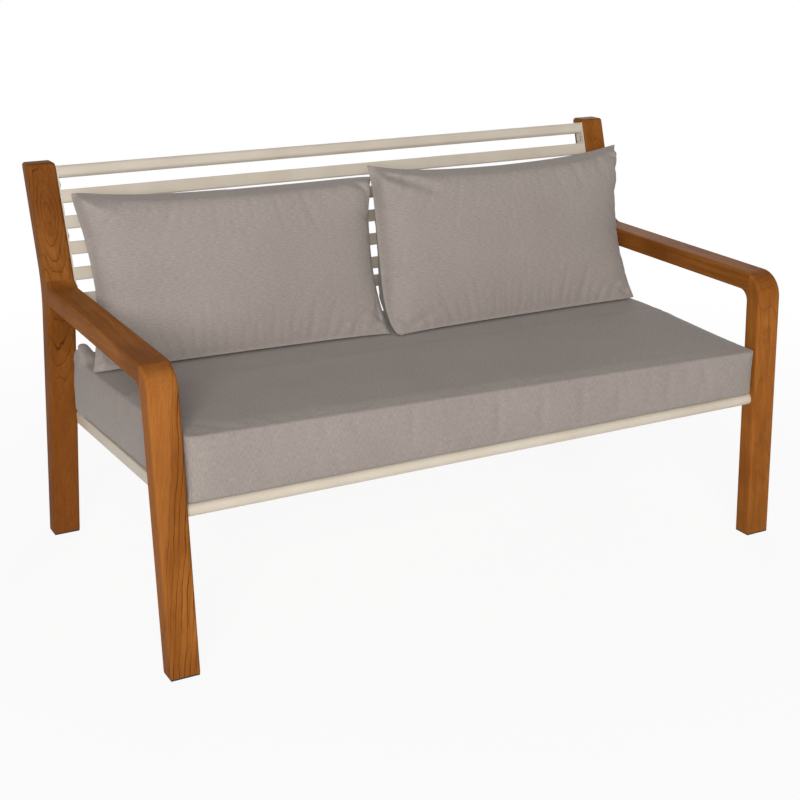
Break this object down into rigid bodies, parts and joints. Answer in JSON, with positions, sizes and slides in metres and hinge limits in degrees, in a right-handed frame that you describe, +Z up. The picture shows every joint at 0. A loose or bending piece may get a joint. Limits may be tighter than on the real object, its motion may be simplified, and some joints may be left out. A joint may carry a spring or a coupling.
{
  "type": "outdoor loveseat",
  "caption": "Patio loveseat with wooden side frames, a coated metal slatted seat and back, a box seat cushion and loose back pillows.",
  "frame": {"origin": "on the floor under the middle of the overall box", "axes": "+X to the right of someone facing the front, +Y from the front to the back, +Z up; left and right in names are the viewer's"},
  "size_m": [1.4, 0.776, 0.822],
  "materials": {
    "teak": "oiled hardwood with dark grain, satin",
    "cream_paint": "smooth cream powder coat, satin",
    "cover_fabric": "fine plain weave, matt, grey-taupe",
    "foot_plastic": "matt black",
    "steel": "plain bright steel",
    "dowel_wood": "bare light hardwood",
    "plug_plastic": "matt dark grey",
    "foam": "open-cell foam, matt",
    "fibre": "loose white fibre, matt"
  },
  "bodies": {
    "frame": {"left_front_leg": "teak", "left_armrest": "teak", "left_rear_post": "teak", "left_front_foot_pad": "foot_plastic", "left_rear_foot_pad": "foot_plastic", "left_seat_side_rail": "cream_paint", "left_back_end_bar": "cream_paint", "right_front_leg": "teak", "right_armrest": "teak", "right_rear_post": "teak", "right_front_foot_pad": "foot_plastic", "right_rear_foot_pad": "foot_plastic", "right_seat_side_rail": "cream_paint", "right_back_end_bar": "cream_paint", "back_top_rail": "cream_paint", "back_bottom_rail": "cream_paint", "seat_front_tube": "cream_paint", "seat_rear_tube": "cream_paint", "seat_centre_rail": "cream_paint", "back_slat_1": "cream_paint", "back_slat_2": "cream_paint", "back_slat_3": "cream_paint", "back_slat_4": "cream_paint", "back_slat_5": "cream_paint", "seat_slat_1": "cream_paint", "seat_slat_2": "cream_paint", "seat_slat_3": "cream_paint", "seat_slat_4": "cream_paint", "seat_slat_5": "cream_paint", "seat_slat_6": "cream_paint", "seat_slat_7": "cream_paint", "seat_slat_8": "cream_paint", "back_frame_screws": "steel", "tube_studs": "steel", "tube_end_plugs": "plug_plastic", "arm_front_dowels": "dowel_wood", "arm_rear_dowels": "dowel_wood"},
    "seat_cushion": {"seat_cushion_cover": "cover_fabric", "seat_cushion_fill": "foam"},
    "left_pillow": {"left_pillow_cover": "cover_fabric", "left_pillow_fill": "fibre"},
    "right_pillow": {"right_pillow_cover": "cover_fabric", "right_pillow_fill": "fibre"}
  },
  "joints": [
    {"name": "seat_cushion_slide", "type": "slide", "parent": "frame", "child": "seat_cushion", "axis": [0, -0.9659, 0.2588], "range_m": [0, 0.72]},
    {"name": "left_pillow_lift", "type": "slide", "parent": "seat_cushion", "child": "left_pillow", "axis": [0, 0, 1], "range_m": [0, 0.4]},
    {"name": "right_pillow_lift", "type": "slide", "parent": "seat_cushion", "child": "right_pillow", "axis": [0, 0, 1], "range_m": [0, 0.4]}
  ]
}
